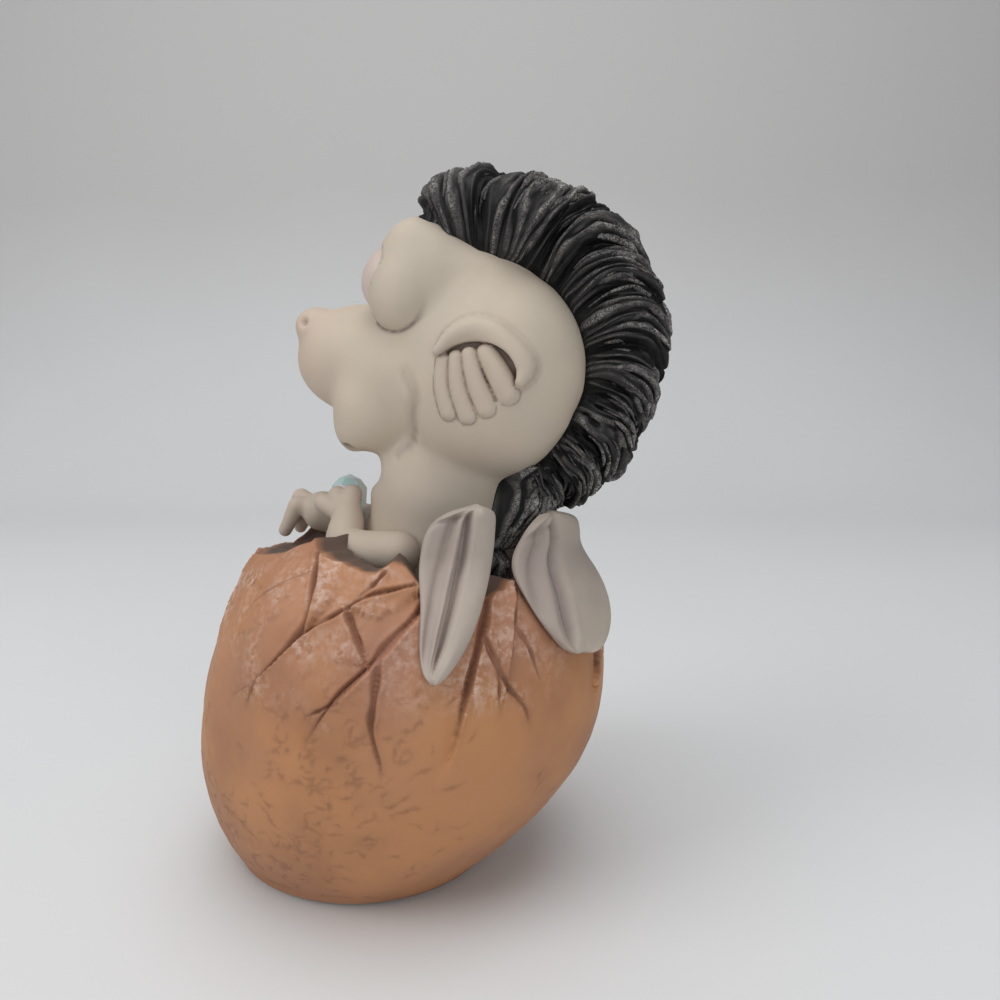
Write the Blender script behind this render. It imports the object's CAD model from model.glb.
import math
import bmesh
import bpy
import numpy as np
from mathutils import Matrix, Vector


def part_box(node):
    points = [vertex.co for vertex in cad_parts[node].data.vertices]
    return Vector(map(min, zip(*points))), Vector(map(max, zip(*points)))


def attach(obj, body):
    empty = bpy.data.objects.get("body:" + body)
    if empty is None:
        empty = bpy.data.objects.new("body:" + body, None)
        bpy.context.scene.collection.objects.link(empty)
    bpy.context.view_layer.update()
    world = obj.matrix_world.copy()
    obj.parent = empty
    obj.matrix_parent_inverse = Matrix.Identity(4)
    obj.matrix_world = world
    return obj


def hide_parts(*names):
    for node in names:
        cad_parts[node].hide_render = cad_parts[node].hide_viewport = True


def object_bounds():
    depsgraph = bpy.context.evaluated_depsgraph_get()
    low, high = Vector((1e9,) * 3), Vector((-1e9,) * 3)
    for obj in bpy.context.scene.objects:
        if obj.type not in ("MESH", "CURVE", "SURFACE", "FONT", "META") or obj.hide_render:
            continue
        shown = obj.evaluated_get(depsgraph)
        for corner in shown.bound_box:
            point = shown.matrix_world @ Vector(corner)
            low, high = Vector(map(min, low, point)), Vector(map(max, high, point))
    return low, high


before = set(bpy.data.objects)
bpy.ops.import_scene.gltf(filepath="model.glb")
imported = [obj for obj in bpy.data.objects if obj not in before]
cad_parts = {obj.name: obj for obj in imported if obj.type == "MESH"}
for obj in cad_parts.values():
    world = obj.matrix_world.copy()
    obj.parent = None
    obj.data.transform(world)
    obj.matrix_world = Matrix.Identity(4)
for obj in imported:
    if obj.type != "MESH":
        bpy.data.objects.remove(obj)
cadLow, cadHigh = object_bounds()
mm = 0.001
boxLow, boxHigh = np.array(cadLow) / mm, np.array(cadHigh) / mm


def nodeBox(node):
    low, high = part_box(node)
    return np.array(low) / mm, np.array(high) / mm


def nodeMiddle(node):
    low, high = nodeBox(node)
    return (low + high) / 2


# Places that the CAD pieces give, in millimetres
eyeFromSkull = np.array([6.3, -9.6, 10.0])
neckDrop = 0.9  # the neck's joint lies lower than in the CAD, clear of the cranium
eyeMiddle = nodeMiddle("left_eye")
eyeRadius = (nodeBox("left_eye")[1][0] - nodeBox("left_eye")[0][0]) / 2
skull = eyeMiddle - eyeFromSkull
neckJoint = nodeBox("body")[1][2] - neckDrop
eggRadius = nodeBox("egg_shell")[1][0]
eggBottom = nodeBox("egg_shell")[0][2]
cavityFloor = nodeBox("body")[0][2]
print("frame loaded, skull at", np.round(skull, 2))


# Small tools for shapes

def ramp(x, low, high):
    t = np.clip((x - low) / (high - low), 0, 1)
    return t * t * (3 - 2 * t)


def bump(x, middle, width):
    return np.exp(-((x - middle) / width) ** 2)


def unit(v):
    return v / np.maximum(np.linalg.norm(v, axis=-1, keepdims=True), 1e-9)


def acrossAxes(way):
    # two directions across this one, the first of them level
    level = unit(np.cross(way, [0.0, 0, 1]))
    return level, np.cross(way, level)


def upright(a, b, way):
    # direction across both a and b, on the side that way points to
    up = np.cross(a, b)
    return unit(up * np.sign((up * way).sum(-1))[..., None])


def softMin(a, b, k):
    h = np.clip(0.5 + 0.5 * (b - a) / k, 0, 1)
    return b + (a - b) * h - k * h * (1 - h)


def softMax(a, b, k):
    return -softMin(-a, -b, k)


def softJoin(gaps, k):
    least = np.min(gaps, axis=0)
    return least - k * np.log(sum(np.exp(-(g - least) / k) for g in gaps))


def formGap(p, middle, half):
    q = p - np.asarray(middle, float)
    s = np.asarray(half, float)
    k0 = np.linalg.norm(q / s, axis=-1)
    k1 = np.linalg.norm(q / s ** 2, axis=-1)
    return k0 * (k0 - 1) / np.maximum(k1, 1e-9)


def pathGap(p, path, radii):
    # gap to a chain of round links whose radius changes along the chain
    best = None
    for a, b, ra, rb in zip(path[:-1], path[1:], radii[:-1], radii[1:]):
        d = b - a
        t = np.clip(((p - a) @ d) / (d @ d), 0, 1)
        gap = np.linalg.norm(p - a - t[..., None] * d, axis=-1) - ra - (rb - ra) * t
        best = gap if best is None else np.minimum(best, gap)
    return best


def curvePath(points, count):
    # smooth curve through a few points
    p = np.asarray(points, float)
    p = np.vstack([2 * p[0] - p[1], p, 2 * p[-1] - p[-2]])
    t = np.linspace(0, len(p) - 3 - 1e-9, count)
    i = t.astype(int)
    f = (t - i)[:, None]
    a, b, c, d = p[i], p[i + 1], p[i + 2], p[i + 3]
    second, third = 2 * a - 5 * b + 4 * c - d, 3 * b - a - 3 * c + d
    return 0.5 * (2 * b + (c - a) * f + second * f ** 2 + third * f ** 3)


def slopeOf(gap, p, reach=0.03):
    steps = np.eye(3) * reach
    return np.stack([gap(p + s) - gap(p - s) for s in steps], -1) / (2 * reach)


latticePrimes, seedPrime, mixPrime = (73856093, 19349663, 83492791), 2654435761, 1274126177


def valueNoise(p, scale, seed):
    # smooth noise from -1 to 1 on a lattice, the same in each run
    q = np.asarray(p, float) / scale
    cell = np.floor(q).astype(np.int64)
    f = q - cell
    f = f * f * (3 - 2 * f)
    total = 0
    for corner in np.ndindex(2, 2, 2):
        c = cell + np.array(corner)
        x, y, z = (c[..., k] * prime for k, prime in enumerate(latticePrimes))
        h = x ^ y ^ z ^ (seed * seedPrime)
        h = (h ^ (h >> 13)) * mixPrime
        h = ((h ^ (h >> 16)) & 0xFFFF) / 32767.5 - 1
        w = np.prod(np.where(np.array(corner) == 1, f, 1 - f), axis=-1)
        total = total + h * w
    return total


def netSkin(gap, low, high, step):
    # surface net of the zero level of gap; fine samples are taken only in blocks near the surface
    block, batch, pulls = 6, 600, 3  # samples along a block, blocks at once, rounds of drawing to the surface
    low, high = np.asarray(low, float), np.asarray(high, float)
    counts = np.ceil((high - low) / (step * block)).astype(int)
    blocks = np.stack(np.meshgrid(*[np.arange(n) for n in counts], indexing="ij"), -1).reshape(-1, 3)
    rough = gap(low + (blocks + 0.5) * block * step)
    values = np.repeat(np.where(rough < 0, -1.0, 1.0), block ** 3).reshape(-1, block, block, block)
    inner = np.stack(np.meshgrid(*[np.arange(block)] * 3, indexing="ij"), -1)
    reach = block * step * 0.9 + 1.2  # half a block's diagonal, and more for gaps that are not exact
    near = np.flatnonzero(np.abs(rough) < reach)
    for part in np.array_split(near, max(1, len(near) // batch)):
        p = low + (blocks[part][:, None, None, None, :] * block + inner) * step
        values[part] = gap(p)
    nx, ny, nz = counts
    values = values.reshape(nx, ny, nz, block, block, block).transpose(0, 3, 1, 4, 2, 5)
    values = values.reshape(counts * block)
    solid = values < 0
    size = np.array(values.shape) - 1
    corners = np.array(list(np.ndindex(2, 2, 2)))

    def shifted(grid, c):
        return grid[c[0]:c[0] + size[0], c[1]:c[1] + size[1], c[2]:c[2] + size[2]]

    filled = sum(shifted(solid, c).astype(np.int8) for c in corners)
    mixed = (filled > 0) & (filled < 8)
    cells = np.argwhere(mixed)
    index = np.full(mixed.shape, -1)
    index[mixed] = np.arange(len(cells))
    sums = np.zeros((len(cells), 3))
    hits = np.zeros(len(cells))
    for a in corners:
        for axis in range(3):
            if a[axis]:
                continue
            b = a + np.eye(3, dtype=int)[axis]
            va, vb = values[tuple((cells + a).T)], values[tuple((cells + b).T)]
            cut = (va < 0) != (vb < 0)
            t = np.where(cut, va / np.where(cut, va - vb, 1), 0)
            sums[cut] += (a + t[:, None] * (b - a))[cut]
            hits += cut
    points = low + (cells + sums / hits[:, None]) * step
    quads = []
    for axis in range(3):
        u, v = np.eye(3, dtype=int)[(axis + 1) % 3], np.eye(3, dtype=int)[(axis + 2) % 3]
        first = solid[tuple(slice(0, -1) if k == axis else slice(1, -1) for k in range(3))]
        second = solid[tuple(slice(1, None) if k == axis else slice(1, -1) for k in range(3))]
        for out, chosen in ((True, first & ~second), (False, second & ~first)):
            at = np.argwhere(chosen) + np.where(np.arange(3) == axis, 0, 1)
            ring = [at - u - v, at - v, at, at - u]
            quad = np.stack([index[tuple(c.T)] for c in (ring if out else ring[::-1])], -1)
            quads.append(quad)
    quads = np.vstack(quads)
    quads = quads[(quads >= 0).all(1)]
    for _ in range(pulls):
        slope = slopeOf(gap, points)
        pull = (gap(points) / np.maximum((slope ** 2).sum(-1), 0.2))[:, None] * slope
        points = points - np.clip(pull, -0.5 * step, 0.5 * step)
    return points, quads


def snapEdge(gap, points, cut, reach):
    # points near both the skin and the flat cut move onto the edge between them
    near = (np.abs(points[:, 2] - cut) < reach) & (np.abs(gap(points)) < reach)
    p = points[near]
    p[:, 2] = cut
    for _ in range(5):
        slope = slopeOf(gap, p)
        slope[:, 2] = 0
        p = p - (gap(p) / np.maximum((slope ** 2).sum(-1), 0.2))[:, None] * slope
    points[near] = p
    return points


def hollowness(gap, p, reach):
    # 0 on bulges and flats, towards 1 deep in creases
    ways = np.array([d for d in np.ndindex(3, 3, 3)], float) - 1
    ways = ways[np.abs(ways).sum(1) > 0]
    mean = sum(gap(p + reach * w) for w in unit(ways)) / len(ways)
    return np.clip(-mean / reach * 3.5, 0, 1)


def newObject(name, data):
    made = bpy.data.objects.new(name, data)
    bpy.context.scene.collection.objects.link(made)
    return made


def setAttribute(mesh, name, values):
    values = np.asarray(values, np.float32)
    kind, field = ("FLOAT", "value") if values.ndim == 1 else ("FLOAT_VECTOR", "vector")
    mesh.attributes.new(name, kind, "POINT").data.foreach_set(field, values.ravel())


def readAttribute(mesh, name, size):
    layer = mesh.attributes[name].data
    values = np.empty(len(layer) * size, np.float32)
    layer.foreach_get("value" if size == 1 else "vector", values)
    return values.astype(float) if size == 1 else values.reshape(-1, size).astype(float)


def makePiece(name, points, faces, material, attributes=None, sharpAngle=None):
    mesh = bpy.data.meshes.new(name)
    mesh.from_pydata((np.asarray(points) * mm).tolist(), [], [list(map(int, f)) for f in faces])
    for key, values in (attributes or {}).items():
        setAttribute(mesh, key, values)
    mesh.polygons.foreach_set("use_smooth", np.ones(len(mesh.polygons), bool))
    if sharpAngle:
        mesh.set_sharp_from_angle(angle=math.radians(sharpAngle))
    mesh.materials.append(material)
    mesh.update()
    return newObject(name, mesh)


def keep(piece, slot, *nodes):
    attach(piece, "root")
    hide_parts(*nodes)
    print(piece.name, len(piece.data.vertices), "points,", len(piece.data.polygons), "faces")


# Shaders

def addNode(tree, kind, **values):
    node = tree.nodes.new(kind)
    for key, value in values.items():
        setattr(node, key, value)
    return node


def feed(tree, source, socket):
    if isinstance(source, bpy.types.NodeSocket):
        tree.links.new(source, socket)
    else:
        socket.default_value = source


def setInputs(node, **values):
    # an underscore in a key stands for the space in the input's name
    for name, value in values.items():
        node.inputs[name.replace("_", " ")].default_value = value


def newMaterial(name):
    material = bpy.data.materials.new(name)
    material.use_nodes = True
    return material, material.node_tree, material.node_tree.nodes["Principled BSDF"]


def addBump(tree, shader, height, strength, depth):
    relief = addNode(tree, "ShaderNodeBump")
    setInputs(relief, Strength=strength, Distance=depth)
    feed(tree, height, relief.inputs["Height"])
    feed(tree, relief.outputs["Normal"], shader.inputs["Normal"])


def mathNode(tree, operation, a, b=0.0, clamp=False):
    node = addNode(tree, "ShaderNodeMath", operation=operation, use_clamp=clamp)
    feed(tree, a, node.inputs[0])
    feed(tree, b, node.inputs[1])
    return node.outputs[0]


def mixColour(tree, factor, a, b, blend="MIX"):
    node = addNode(tree, "ShaderNodeMix", data_type="RGBA", blend_type=blend)
    feed(tree, factor, node.inputs["Factor"])
    feed(tree, a, node.inputs[6])
    feed(tree, b, node.inputs[7])
    return node.outputs[2]


def spread(tree, value, low, high):
    node = addNode(tree, "ShaderNodeMapRange", interpolation_type="SMOOTHSTEP")
    feed(tree, value, node.inputs["Value"])
    setInputs(node, From_Min=low, From_Max=high)
    return node.outputs["Result"]


def objectPlace(tree):
    return addNode(tree, "ShaderNodeTexCoord").outputs["Object"]


def noiseNode(tree, scale, detail=3.0, roughness=0.55, distortion=0.0, place=None):
    node = addNode(tree, "ShaderNodeTexNoise")
    feed(tree, place or objectPlace(tree), node.inputs["Vector"])
    feed(tree, scale, node.inputs["Scale"])
    setInputs(node, Detail=detail, Roughness=roughness, Distortion=distortion)
    return node.outputs["Fac"]


def named(tree, name):
    return addNode(tree, "ShaderNodeAttribute", attribute_name=name).outputs["Fac"]


def makePaintGroup():
    # hand-painted resin: paint with a mottle, a wash in the hollows and a dry brush on what stands out
    tree = bpy.data.node_groups.new("handPaint", "ShaderNodeTree")
    sockets = [("INPUT", "Color", ("Paint", "Mottle", "Wash", "Brush")),
               ("INPUT", "Float", ("Hollow", "Proud", "Mottle Size", "Grain Size")),
               ("OUTPUT", "Color", ("Colour",)), ("OUTPUT", "Float", ("Rough", "Height"))]
    for way, kind, names in sockets:
        for name in names:
            tree.interface.new_socket(name, in_out=way, socket_type="NodeSocket" + kind)
    given = addNode(tree, "NodeGroupInput").outputs
    result = addNode(tree, "NodeGroupOutput").inputs
    place = objectPlace(tree)
    patches = spread(tree, noiseNode(tree, given["Mottle Size"], 4.0, 0.5, 0.0, place), 0.35, 0.68)
    grain = noiseNode(tree, given["Grain Size"], 3.0, 0.6, 0.0, place)
    streak = noiseNode(tree, 900.0, 4.0, 0.7, 0.0, place)
    colour = mixColour(tree, patches, given["Paint"], given["Mottle"])
    worn = mathNode(tree, "MULTIPLY", given["Hollow"], mathNode(tree, "ADD", streak, 0.45), True)
    colour = mixColour(tree, worn, colour, given["Wash"])
    bristle = spread(tree, mathNode(tree, "ADD", mathNode(tree, "MULTIPLY", grain, 0.6),
                                    mathNode(tree, "MULTIPLY", streak, 0.4)), 0.42, 0.62)
    brushed = mathNode(tree, "MULTIPLY", given["Proud"], bristle, True)
    colour = mixColour(tree, brushed, colour, given["Brush"])
    feed(tree, colour, result["Colour"])
    feed(tree, mathNode(tree, "ADD", 0.5, mathNode(tree, "MULTIPLY", streak, 0.24)), result["Rough"])
    feed(tree, mathNode(tree, "ADD", mathNode(tree, "MULTIPLY", grain, 0.5), streak), result["Height"])
    return tree


paintGroup = makePaintGroup()


def paintedMaterial(name, paint, hollow, proud, bumpDepth, extra=None, roughShift=0.0):
    # paint is a dictionary of the four colours and the size of the mottle
    material, tree, shader = newMaterial(name)
    group = addNode(tree, "ShaderNodeGroup", node_tree=paintGroup)
    for key in ("Paint", "Mottle", "Wash", "Brush"):
        group.inputs[key].default_value = (*paint[key], 1)
    setInputs(group, Mottle_Size=paint["mottleSize"], Grain_Size=paint.get("grainSize", 2600.0))
    feed(tree, hollow(tree), group.inputs["Hollow"])
    feed(tree, proud(tree), group.inputs["Proud"])
    colour = group.outputs["Colour"]
    if extra:
        colour = extra(tree, colour)
    feed(tree, colour, shader.inputs["Base Color"])
    setInputs(shader, Specular_IOR_Level=paint.get("gloss", 0.5))
    rough = mathNode(tree, "ADD", group.outputs["Rough"], roughShift, True)
    feed(tree, rough, shader.inputs["Roughness"])
    addBump(tree, shader, group.outputs["Height"], 0.5, bumpDepth)
    return material


def tint(tree, colour, mask, to):
    return mixColour(tree, mask, colour, (*to, 1))


skinPaint = {
    "Paint": (0.56, 0.475, 0.375), "Mottle": (0.50, 0.435, 0.35), "Wash": (0.17, 0.125, 0.11),
    "Brush": (0.62, 0.56, 0.49), "mottleSize": 90.0,
}
specks = {"size": 210.0, "colour": (0.13, 0.10, 0.08)}


def skinExtra(tree, colour):
    colour = tint(tree, colour, named(tree, "blush"), (0.56, 0.42, 0.335))
    colour = tint(tree, colour, named(tree, "shade"), (0.29, 0.245, 0.215))
    dots = addNode(tree, "ShaderNodeTexVoronoi")
    feed(tree, objectPlace(tree), dots.inputs["Vector"])
    dots.inputs["Scale"].default_value = specks["size"]
    small = mathNode(tree, "SUBTRACT", 1.0, spread(tree, dots.outputs["Distance"], 0.03, 0.07))
    some = mathNode(tree, "GREATER_THAN", noiseNode(tree, 160.0, 0.0), 0.66)
    return tint(tree, colour, mathNode(tree, "MULTIPLY", small, some), specks["colour"])


skinMaterial = paintedMaterial("creamSkin", skinPaint, lambda t: named(t, "hollow"), lambda t: 0.0,
                               0.00003, skinExtra, 0.02)

wingPaint = {
    "Paint": (0.46, 0.395, 0.325), "Mottle": (0.41, 0.35, 0.30), "Wash": (0.085, 0.06, 0.055),
    "Brush": (0.58, 0.52, 0.46), "mottleSize": 140.0,
}
wingMaterial = paintedMaterial("wingSkin", wingPaint, lambda t: named(t, "hollow"), lambda t: 0.0,
                               0.00003, lambda t, c: tint(t, c, named(t, "mauve"), (0.30, 0.235, 0.225)), 0.0)

shellPaint = {
    "Paint": (0.48, 0.22, 0.09), "Mottle": (0.37, 0.165, 0.075), "Wash": (0.12, 0.043, 0.021),
    "Brush": (0.70, 0.51, 0.41), "mottleSize": 75.0, "grainSize": 1100.0,
}


def shellExtra(tree, colour):
    colour = tint(tree, colour, named(tree, "rose"), (0.36, 0.175, 0.115))
    return tint(tree, colour, named(tree, "dark"), (0.045, 0.042, 0.045))


shellMaterial = paintedMaterial("terracottaShell", shellPaint, lambda t: named(t, "hollow"),
                                lambda t: named(t, "dust"), 0.00006, shellExtra, -0.02)

manePaint = {
    "Paint": (0.040, 0.037, 0.036), "Mottle": (0.028, 0.026, 0.026), "Wash": (0.003, 0.003, 0.003),
    "Brush": (0.50, 0.48, 0.46), "mottleSize": 260.0, "grainSize": 5200.0, "gloss": 0.2,
}


def maneProud(tree):
    # the dry brush catches each strand's ridge, more so towards the tip
    caught = spread(tree, named(tree, "ridge"), 0.36, 0.76)
    return mathNode(tree, "MULTIPLY", caught, named(tree, "tone"), True)


def maneHollow(tree):
    deep = spread(tree, named(tree, "ridge"), 0.08, 0.55)
    return mathNode(tree, "SUBTRACT", 1.7, mathNode(tree, "MULTIPLY", deep, 1.8), True)


maneMaterial = paintedMaterial("charcoalMane", manePaint, maneHollow, maneProud, 0.00012, None, 0.0)

eyePaint = {
    "Paint": (0.60, 0.49, 0.43), "Mottle": (0.55, 0.43, 0.37), "Wash": (0.10, 0.07, 0.06),
    "Brush": (0.6, 0.5, 0.45), "mottleSize": 240.0,
}
eyeMaterial = paintedMaterial("rosyEye", eyePaint, lambda t: named(t, "iris"), lambda t: 0.0,
                              0.00001, None, -0.2)


def crystalMaterialOf():
    material, tree, shader = newMaterial("auroraCrystal")
    sheen = spread(tree, noiseNode(tree, 420.0, 1.0), 0.35, 0.65)
    colour = mixColour(tree, sheen, (0.55, 0.95, 0.92, 1), (0.88, 0.86, 0.97, 1))
    feed(tree, colour, shader.inputs["Base Color"])
    setInputs(shader, Roughness=0.04, Transmission_Weight=0.3, IOR=1.55,
              Thin_Film_Thickness=420.0, Thin_Film_IOR=1.9)
    return material


crystalMaterial = crystalMaterialOf()


def feltMaterialOf():
    material, tree, shader = newMaterial("darkFelt")
    fibres = noiseNode(tree, 3200.0, 4.0, 0.7, 1.5)
    colour = mixColour(tree, fibres, (0.045, 0.045, 0.04, 1), (0.10, 0.10, 0.088, 1))
    feed(tree, colour, shader.inputs["Base Color"])
    setInputs(shader, Roughness=0.95, Sheen_Weight=0.4)
    addBump(tree, shader, fibres, 1.0, 0.0002)
    return material


def steelMaterialOf():
    material, tree, shader = newMaterial("dowelSteel")
    drawn = addNode(tree, "ShaderNodeMapping")
    feed(tree, objectPlace(tree), drawn.inputs["Vector"])
    setInputs(drawn, Scale=(1.0, 1.0, 0.03))
    lines = noiseNode(tree, 2500.0, 3.0, 0.6, 0.0, drawn.outputs["Vector"])
    colour = mixColour(tree, lines, (0.46, 0.46, 0.47, 1), (0.58, 0.58, 0.6, 1))
    feed(tree, colour, shader.inputs["Base Color"])
    rough = mathNode(tree, "ADD", 0.22, mathNode(tree, "MULTIPLY", lines, 0.2))
    feed(tree, rough, shader.inputs["Roughness"])
    setInputs(shader, Metallic=1.0)
    return material


feltMaterial = feltMaterialOf()
steelMaterial = steelMaterialOf()
print("materials made")


# The egg

egg = {
    "middle": np.array([0.0, 9.5, 30.2]), "lean": math.radians(33.5),
    "lowLength": 42.0, "highLength": 26.0, "wall": 4.0, "glue": 0.15,
    "axisY": 9.0, "rimHeight": 47.0, "plugDrop": 4.5, "columns": 220,
    "fine": 0.19, "coarser": 0.55, "longest": 2.0, "even": 0.5, "evenReach": 0.35, "evenRounds": 3,
    "rim": [(-172, 0), (-158, 2), (-150, -1), (-134, 1.5), (-122, -1.5), (-108, 1), (-98, -2), (-84, -1.5),
            (-70, -1), (-60, -1), (-46, 0), (-34, 1), (-30, 1.5), (-23.5, 3), (-18, 2), (-3, 1), (10, 0),
            (14.5, 1), (18, 1), (22, 0), (25, -1), (40, -1), (46, -3), (52, -2.5), (56, -1.5), (62, -3),
            (76, -1.5), (88, -3), (100, -0.5), (112, -2), (128, 1), (136, -1.5), (152, 1), (162, -1)],
    "outerRows": 62, "innerRows": 22, "passes": 3, "sharp": 50, "sunk": 0.25,
}
eggAxis = np.array([0, math.sin(egg["lean"]), math.cos(egg["lean"])])
eggAcross = np.array([0, math.cos(egg["lean"]), -math.sin(egg["lean"])])


def eggParts(p):
    # place from the egg's middle, its shares along and across the leaning axis, and the half length there
    d = p - egg["middle"]
    t = d @ eggAxis
    return d, t, d @ eggAcross, np.where(t < 0, egg["lowLength"], egg["highLength"])


def eggGap(p, grow=0.0):
    d, t, v, length = eggParts(p)
    r = eggRadius + grow
    return (np.sqrt((d[..., 0] ** 2 + v ** 2) / r ** 2 + (t / (length + grow)) ** 2) - 1) * r


def eggNormal(p):
    d, t, v, length = eggParts(p)
    n = (d[..., :1] / eggRadius ** 2) * np.array([1.0, 0, 0])
    return unit(n + (v / eggRadius ** 2)[..., None] * eggAcross + (t / length ** 2)[..., None] * eggAxis)


def turned(angle):
    a = np.radians(angle)
    return np.stack([np.cos(a), np.sin(a), np.zeros_like(a)], -1)


def reachAlong(gap, start, way, far):
    low = np.zeros(np.broadcast_shapes(start.shape, way.shape)[:-1])
    high = np.full_like(low, far)
    for _ in range(26):
        middle = (low + high) / 2
        inside = gap(start + middle[..., None] * way) < 0
        low, high = np.where(inside, middle, low), np.where(inside, high, middle)
    return (low + high) / 2


def leanAxis(z):
    # upright line through the underside's middle and the middle of the rim
    z = np.asarray(z, float)
    return np.stack([0 * z, egg["axisY"] * z / egg["rimHeight"], z], -1)


def onEgg(angle, z, grow=0.0):
    start, way = leanAxis(z), turned(np.asarray(angle, float))
    return start + reachAlong(lambda p: eggGap(p, grow), start, way, 2 * eggRadius)[..., None] * way


def rimHeight(angle):
    a, h = np.array(egg["rim"], float).T
    a, h = np.r_[a[-1] - 360, a, a[0] + 360], np.r_[h[-1], h, h[0]]
    return egg["rimHeight"] + np.interp((np.asarray(angle) + 180) % 360 - 180, a, h)


# Cracks: direction round the egg and height of each bend, half width, depth, side that stands proud
cracks = [
    ([(-16, 49), (-13, 48), (-9, 45.5), (-6.5, 42.5), (-7.5, 40), (-16, 35), (-27, 30.5)], 0.75, 1.1, 1),
    ([(-17, 34), (-19, 30.5)], 0.3, 0.4, 0),
    ([(-14, 47), (-21, 45.5), (-29.5, 43), (-35, 40)], 0.16, 0.2, 0),
    ([(23.5, 46), (11, 45), (3, 43), (-2, 41.5), (-7, 39.5)], 0.5, 0.9, 1),
    ([(13, 47.5), (10, 46), (6, 44.5)], 0.3, 0.5, 0),
    ([(27.5, 44), (20, 40.5), (15, 37.5), (8, 33.5), (2.5, 28)], 0.62, 0.95, 1),
    ([(9.5, 33.5), (0.5, 31)], 0.32, 0.5, 0),
    ([(5, 43.5), (10.5, 40.5), (15, 37.5)], 0.4, 0.7, -1),
    ([(17.5, 38.5), (18, 34), (18.5, 30.5), (23, 25)], 0.55, 0.8, 0),
    ([(46.5, 44.5), (44.5, 42), (41.5, 38.5), (39, 33.5), (37.5, 27)], 0.52, 0.8, 1),
    ([(43, 40.5), (46.5, 37), (49.5, 34.5), (54.5, 31.5), (56.5, 29)], 0.44, 0.7, 0),
    ([(47, 37.5), (47.5, 32)], 0.32, 0.45, 0),
    ([(57.5, 45), (53, 40.5), (49.5, 34.5)], 0.44, 0.7, -1),
    ([(54, 40.5), (57, 38), (59, 34)], 0.38, 0.55, 0),
    ([(88, 45), (84, 40), (88, 35), (84, 30)], 0.5, 0.8, 1),
    ([(86, 38), (94, 34), (97, 29.5)], 0.36, 0.6, 0),
    ([(112, 46), (117, 39), (109, 33), (111, 27)], 0.55, 0.85, -1),
    ([(115, 38), (124, 34), (127, 29)], 0.36, 0.6, 0),
    ([(136, 46.5), (133, 41), (139, 36)], 0.4, 0.7, 1),
    ([(152, 49), (146, 41), (154, 34), (150, 28)], 0.6, 0.9, 1),
    ([(149, 39), (160, 36), (166, 31)], 0.4, 0.6, 0),
    ([(-172, 48), (-176, 42), (-168, 36)], 0.45, 0.7, -1),
    ([(-150, 47), (-153, 41), (-146, 35), (-150, 29)], 0.6, 0.9, 1),
    ([(-134, 49.5), (-128, 41), (-136, 33)], 0.5, 0.8, -1),
    ([(-130, 40), (-121, 36), (-119, 31)], 0.35, 0.6, 0),
    ([(-98, 46), (-94, 39), (-103, 32), (-99, 26)], 0.6, 0.9, 1),
    ([(-97, 36), (-88, 33), (-84, 28)], 0.36, 0.6, 0),
    ([(-70, 49.5), (-66, 42), (-74, 35)], 0.5, 0.8, -1),
    ([(-60, 47), (-57, 41), (-52, 36)], 0.4, 0.7, 1),
]
# Tool strokes: how many, middle and spread of direction and height, length, as patches on the shell
strokes = {
    "seed": 11, "halfWidth": (0.22, 0.45), "depth": (0.05, 0.12), "bend": 0.7, "coarse": 0.4,
    "run": (0.7, 0.8), "heights": (2.5, 44), "taper": 2.2,
    "patches": [(170, -18, 28, 9, 6, (1.8, 4.4)), (100, 10, 12, 25, 5, (1.2, 3.4)),
                (50, -18, 18, 40, 3, (0.9, 2.4)), (50, 14, 10, 35, 4, (0.9, 2.4)),
                (230, 180, 100, 12, 8, (1.8, 4.4)), (110, 180, 100, 40, 4, (0.9, 2.6))],
}
crackWidth, crackDepth = 1.5, 0.95
# Beside a cut: burr on its lip, how far a proud shard tilts up, and how dark the wash is in it
cutSides = {"reach": 3.5, "burr": 0.28, "burrFrom": 0.12, "burrWidth": 0.22,
            "tilt": 0.5, "tiltReach": 1.9, "wash": 0.35, "washByDepth": 1.5}


def cutSegments():
    # every crack and stroke as short straight links on the egg:
    # start, end, half widths, depths, proud side, how much coarser the mesh may be
    rows = []
    for bends, half, depth, proud in cracks:
        path = curvePath(bends, 6 * len(bends))
        on = onEgg(path[:, 0], path[:, 1])
        s = np.linspace(0, 1, len(on))
        taper = (1 - s ** 3) ** 0.8 * (0.82 + 0.18 * np.sin(s * 17 + bends[0][0]))
        for i in range(len(on) - 1):
            w, d = crackWidth * half * taper[i:i + 2], crackDepth * depth * taper[i:i + 2] ** 0.6
            rows.append([*on[i], *on[i + 1], *w, *d, proud, 0])
    rng = np.random.default_rng(strokes["seed"])
    for patch in [p for p in strokes["patches"] for _ in range(p[0])]:
        _, around, spreadAround, height, spreadHeight, lengths = patch
        angle = rng.normal(around, spreadAround)
        z = np.clip(rng.normal(height, spreadHeight), *strokes["heights"])
        length = rng.uniform(*lengths)
        run, bend = rng.normal(*strokes["run"]), rng.uniform(-1, 1) * strokes["bend"]
        half, depth = rng.uniform(*strokes["halfWidth"]), rng.uniform(*strokes["depth"])
        start = onEgg(np.array(angle), z)
        u, w = acrossAxes(eggNormal(start))
        s = np.linspace(-0.5, 0.5, 5)[:, None]
        turn = run + bend * s * 2
        points = start + length * s * (np.cos(turn) * u + np.sin(turn) * w)
        for i in range(4):
            e0, e1 = 1 - abs(i - 2) / strokes["taper"], 1 - abs(i - 1) / strokes["taper"]
            sizes = (half * e0, half * e1, depth * e0, depth * e1)
            rows.append([*points[i], *points[i + 1], *sizes, 0, strokes["coarse"]])
    return np.array(rows)


cuts = cutSegments()


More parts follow.
